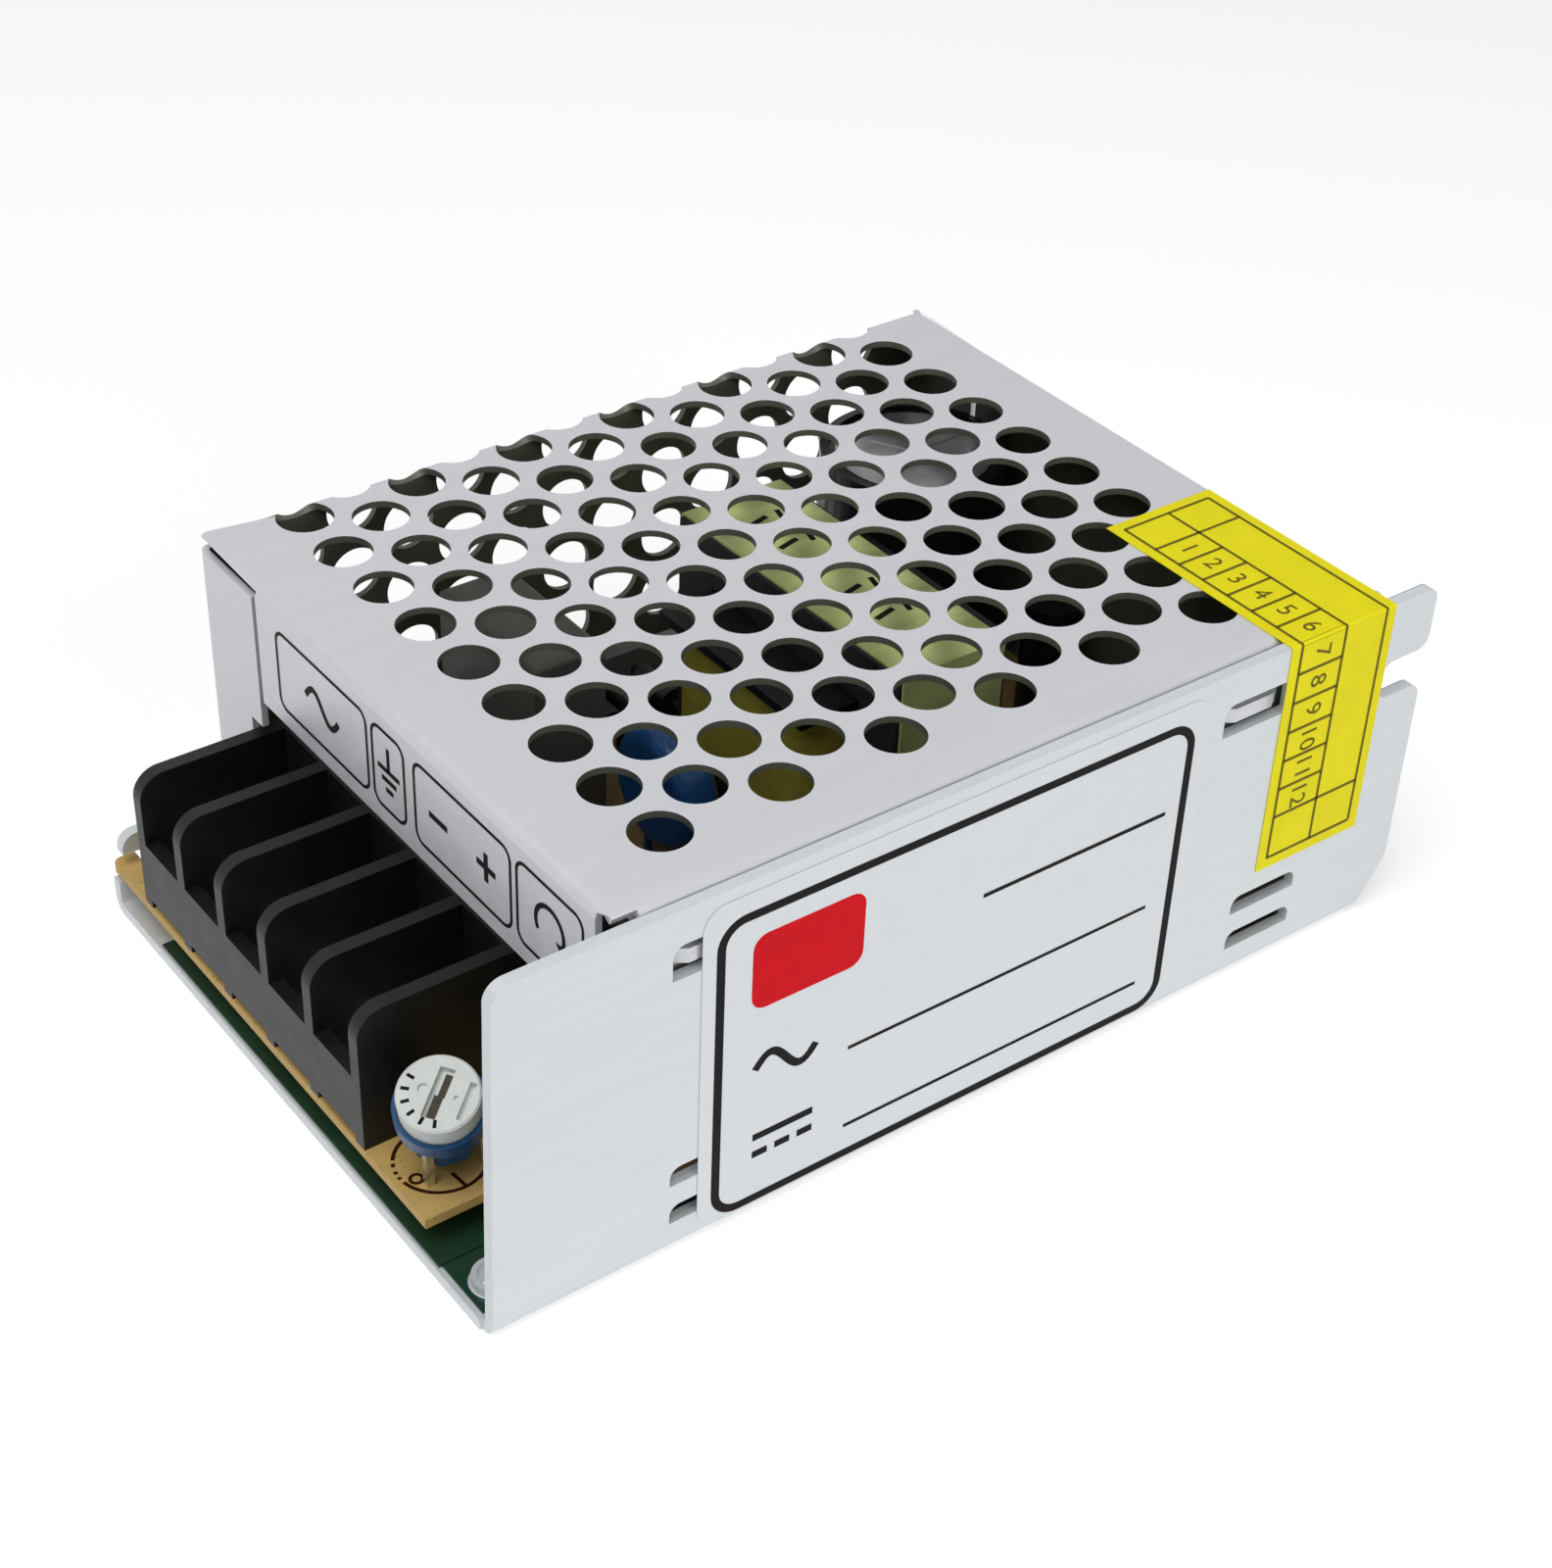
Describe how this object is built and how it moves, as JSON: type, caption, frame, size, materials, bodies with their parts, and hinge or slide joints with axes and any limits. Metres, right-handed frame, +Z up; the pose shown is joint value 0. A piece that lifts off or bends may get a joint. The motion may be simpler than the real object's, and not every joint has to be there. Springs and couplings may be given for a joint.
{
  "type": "enclosed power supply",
  "caption": "Small switching power supply in a bent sheet chassis with a perforated clip-on cover, a barrier screw terminal row and a trimmer at its open end.",
  "frame": {"origin": "centre of the bounding box in plan, at the underside of the base", "axes": "+X from the terminal end to the slotted ear, +Y from the long side wall to the perforated side, +Z up"},
  "size_m": [0.085, 0.0574, 0.0303],
  "materials": {
    "chassis_sheet": "satin plain sheet",
    "cover_sheet": "satin plated sheet",
    "insulating_film": "gloss",
    "board": "satin laminate",
    "screw_steel": "plated",
    "black_plastic": "satin moulding",
    "blue_plastic": "semi-gloss",
    "white_plastic": "satin",
    "tinned_metal": "tinned",
    "ferrite": "matte",
    "winding_tape": "tape",
    "core_tape": "tape",
    "capacitor_sleeve": "shrink sleeve",
    "grey_plastic": "satin",
    "blue_lacquer": "dipped lacquer",
    "copper_wire": "enamelled",
    "fuse_glass": "clear",
    "dark_lacquer": "dipped",
    "resistor_lacquer": "lacquer",
    "device_mould": "moulding compound",
    "grey_pad": "soft pad"
  },
  "bodies": {
    "case": {"chassis": "chassis_sheet", "perforated_cover": "cover_sheet", "insulating_sheet": "insulating_film", "circuit_board": "board", "board_screw": "screw_steel", "terminal_block": "black_plastic", "trimmer_body": "blue_plastic", "trimmer_pins": "tinned_metal", "transformer_core": "ferrite", "transformer_bobbin": "black_plastic", "transformer_winding": "winding_tape", "core_tape": "core_tape", "bulk_capacitor": "capacitor_sleeve", "output_capacitor": "capacitor_sleeve", "film_capacitor": "grey_plastic", "disc_capacitor": "blue_lacquer", "line_filter_core": "ferrite", "line_filter_winding": "copper_wire", "line_filter_base": "black_plastic", "fuse": "fuse_glass", "inrush_thermistor": "dark_lacquer", "rectifier_diodes": "black_plastic", "resistors": "resistor_lacquer", "output_rectifier": "device_mould", "switch_transistor": "device_mould", "device_pads": "grey_pad", "device_screws": "screw_steel", "controller_chip": "device_mould", "optocoupler": "device_mould", "output_choke_core": "ferrite", "output_choke_winding": "copper_wire", "supply_capacitor": "capacitor_sleeve", "terminal_contact_1": "tinned_metal", "terminal_contact_2": "tinned_metal", "terminal_contact_3": "tinned_metal", "terminal_contact_4": "tinned_metal", "terminal_contact_5": "tinned_metal"},
    "trimmer_dial": {"trimmer_rotor": "white_plastic"},
    "clamp_1": {"clamp_plate_1": "tinned_metal"},
    "screw_1": {"terminal_screw_1": "screw_steel"},
    "clamp_2": {"clamp_plate_2": "tinned_metal"},
    "screw_2": {"terminal_screw_2": "screw_steel"},
    "clamp_3": {"clamp_plate_3": "tinned_metal"},
    "screw_3": {"terminal_screw_3": "screw_steel"},
    "clamp_4": {"clamp_plate_4": "tinned_metal"},
    "screw_4": {"terminal_screw_4": "screw_steel"},
    "clamp_5": {"clamp_plate_5": "tinned_metal"},
    "screw_5": {"terminal_screw_5": "screw_steel"}
  },
  "joints": [
    {"name": "trimmer_turn", "type": "hinge", "parent": "case", "child": "trimmer_dial", "pos_m": [-0.03795, -0.0158, 0.0067], "axis": [-0.2306, -0.2952, 0.9272], "range_deg": [-110, 110]},
    {"name": "clamp_lift_1", "type": "slide", "parent": "case", "child": "clamp_1", "axis": [0, 0, 1], "range_m": [0, 0.002]},
    {"name": "screw_turn_1", "type": "hinge", "parent": "clamp_1", "child": "screw_1", "pos_m": [-0.0357, 0.01818, 0.0077], "axis": [0, 0, 1], "range_deg": [0, 1440]},
    {"name": "clamp_lift_2", "type": "slide", "parent": "case", "child": "clamp_2", "axis": [0, 0, 1], "range_m": [0, 0.002]},
    {"name": "screw_turn_2", "type": "hinge", "parent": "clamp_2", "child": "screw_2", "pos_m": [-0.0357, 0.01162, 0.0077], "axis": [0, 0, 1], "range_deg": [0, 1440]},
    {"name": "clamp_lift_3", "type": "slide", "parent": "case", "child": "clamp_3", "axis": [0, 0, 1], "range_m": [0, 0.002]},
    {"name": "screw_turn_3", "type": "hinge", "parent": "clamp_3", "child": "screw_3", "pos_m": [-0.0357, 0.00507, 0.0077], "axis": [0, 0, 1], "range_deg": [0, 1440]},
    {"name": "clamp_lift_4", "type": "slide", "parent": "case", "child": "clamp_4", "axis": [0, 0, 1], "range_m": [0, 0.002]},
    {"name": "screw_turn_4", "type": "hinge", "parent": "clamp_4", "child": "screw_4", "pos_m": [-0.0357, -0.00147, 0.0077], "axis": [0, 0, 1], "range_deg": [0, 1440]},
    {"name": "clamp_lift_5", "type": "slide", "parent": "case", "child": "clamp_5", "axis": [0, 0, 1], "range_m": [0, 0.002]},
    {"name": "screw_turn_5", "type": "hinge", "parent": "clamp_5", "child": "screw_5", "pos_m": [-0.0357, -0.00802, 0.0077], "axis": [0, 0, 1], "range_deg": [0, 1440]}
  ],
  "couplings": [
    {"joint": "screw_turn_1", "follows": "clamp_lift_1", "rad_per_m": 12566},
    {"joint": "screw_turn_2", "follows": "clamp_lift_2", "rad_per_m": 12566},
    {"joint": "screw_turn_3", "follows": "clamp_lift_3", "rad_per_m": 12566},
    {"joint": "screw_turn_4", "follows": "clamp_lift_4", "rad_per_m": 12566},
    {"joint": "screw_turn_5", "follows": "clamp_lift_5", "rad_per_m": 12566}
  ]
}
